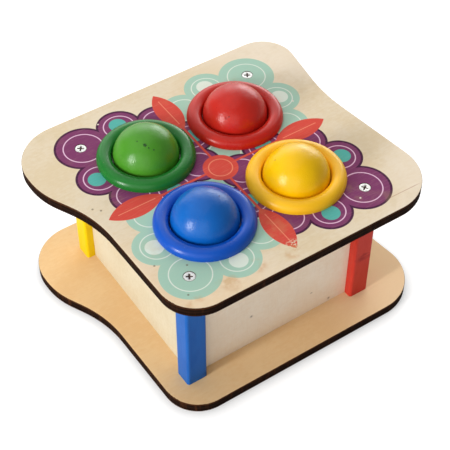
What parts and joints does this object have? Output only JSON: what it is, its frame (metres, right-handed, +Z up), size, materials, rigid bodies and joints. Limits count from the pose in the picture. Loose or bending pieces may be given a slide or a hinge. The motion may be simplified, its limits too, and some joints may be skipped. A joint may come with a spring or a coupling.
{
  "type": "ball pounding bench",
  "caption": "Toddler's pounding bench: painted balls held in soft snap rings in a waisted plywood table, knocked through on to a chute that rolls them out at the back.",
  "frame": {"origin": "midway between the four posts, on the underside of the base board", "axes": "+Z up; +X along the boards' longer side, to the east; +Y to the north, the open side where balls roll out"},
  "size_m": [0.2242, 0.1937, 0.1342],
  "materials": {
    "plywood": "satin",
    "printed_plywood": "satin",
    "yellow_post_paint": "semi-gloss paint",
    "blue_post_paint": "semi-gloss paint",
    "red_post_paint": "semi-gloss paint",
    "green_post_paint": "semi-gloss paint",
    "wall_panel": "bare",
    "ramp_panel": "bare",
    "green_ring": "soft satin plastic",
    "blue_ring": "soft satin plastic",
    "yellow_ring": "soft satin plastic",
    "red_ring": "soft satin plastic",
    "green_ball_paint": "gloss paint",
    "blue_ball_paint": "gloss paint",
    "yellow_ball_paint": "gloss paint",
    "red_ball_paint": "gloss paint",
    "screw_steel": "bright zinc"
  },
  "bodies": {
    "bench": {"base_board": "plywood", "top_board": "printed_plywood", "post_yellow": "yellow_post_paint", "post_blue": "blue_post_paint", "post_red": "red_post_paint", "post_green": "green_post_paint", "wall_west": "wall_panel", "wall_east": "wall_panel", "wall_south": "wall_panel", "ramp_board": "ramp_panel", "ramp_block": "ramp_panel", "ring_green": "green_ring", "ring_blue": "blue_ring", "ring_yellow": "yellow_ring", "ring_red": "red_ring", "top_screws": "screw_steel", "base_screws": "screw_steel"},
    "ball_green": {"ball_green": "green_ball_paint"},
    "ball_blue": {"ball_blue": "blue_ball_paint"},
    "ball_yellow": {"ball_yellow": "yellow_ball_paint"},
    "ball_red": {"ball_red": "red_ball_paint"}
  },
  "joints": [
    {"name": "pound_green", "type": "slide", "parent": "bench", "child": "ball_green", "axis": [0, 0, 1], "range_m": [-0.0706, 0.06], "deforming": ["ring_green"]},
    {"name": "pound_blue", "type": "slide", "parent": "bench", "child": "ball_blue", "axis": [0, 0, 1], "range_m": [-0.0553, 0.06], "deforming": ["ring_blue"]},
    {"name": "pound_yellow", "type": "slide", "parent": "bench", "child": "ball_yellow", "axis": [0, 0, 1], "range_m": [-0.0553, 0.06], "deforming": ["ring_yellow"]},
    {"name": "pound_red", "type": "slide", "parent": "bench", "child": "ball_red", "axis": [0, 0, 1], "range_m": [-0.0706, 0.06], "deforming": ["ring_red"]}
  ]
}
